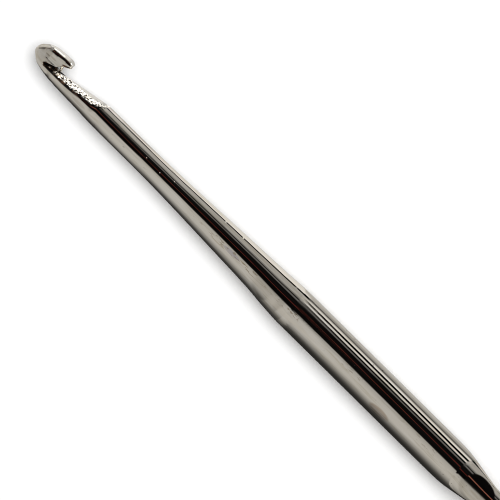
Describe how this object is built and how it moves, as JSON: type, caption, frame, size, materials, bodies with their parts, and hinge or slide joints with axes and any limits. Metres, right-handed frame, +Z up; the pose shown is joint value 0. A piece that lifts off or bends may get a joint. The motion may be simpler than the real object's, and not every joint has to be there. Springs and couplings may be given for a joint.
{
  "type": "crochet hook",
  "caption": "Slim steel crochet hook with a barbed round nose, sloped throat, long taper, pressed flat thumb rest and round handle with a rounded end.",
  "frame": {"origin": "on the shaft's axis, at the plane where the round handle's wall meets its rounded butt end", "axes": "+X along the shaft from the butt to the nose, -Y square to the thumb rest's flats on the side the mouth opens, +Z up, across the thumb rest"},
  "size_m": [0.127, 0.0032, 0.0044],
  "materials": {
    "steel": "satin drawn wire, all of it under the plating",
    "nickel": "bright nickel plate, mirror polished"
  },
  "bodies": {
    "root": {"steel_core": "steel", "nickel_plating": "nickel"}
  },
  "joints": []
}
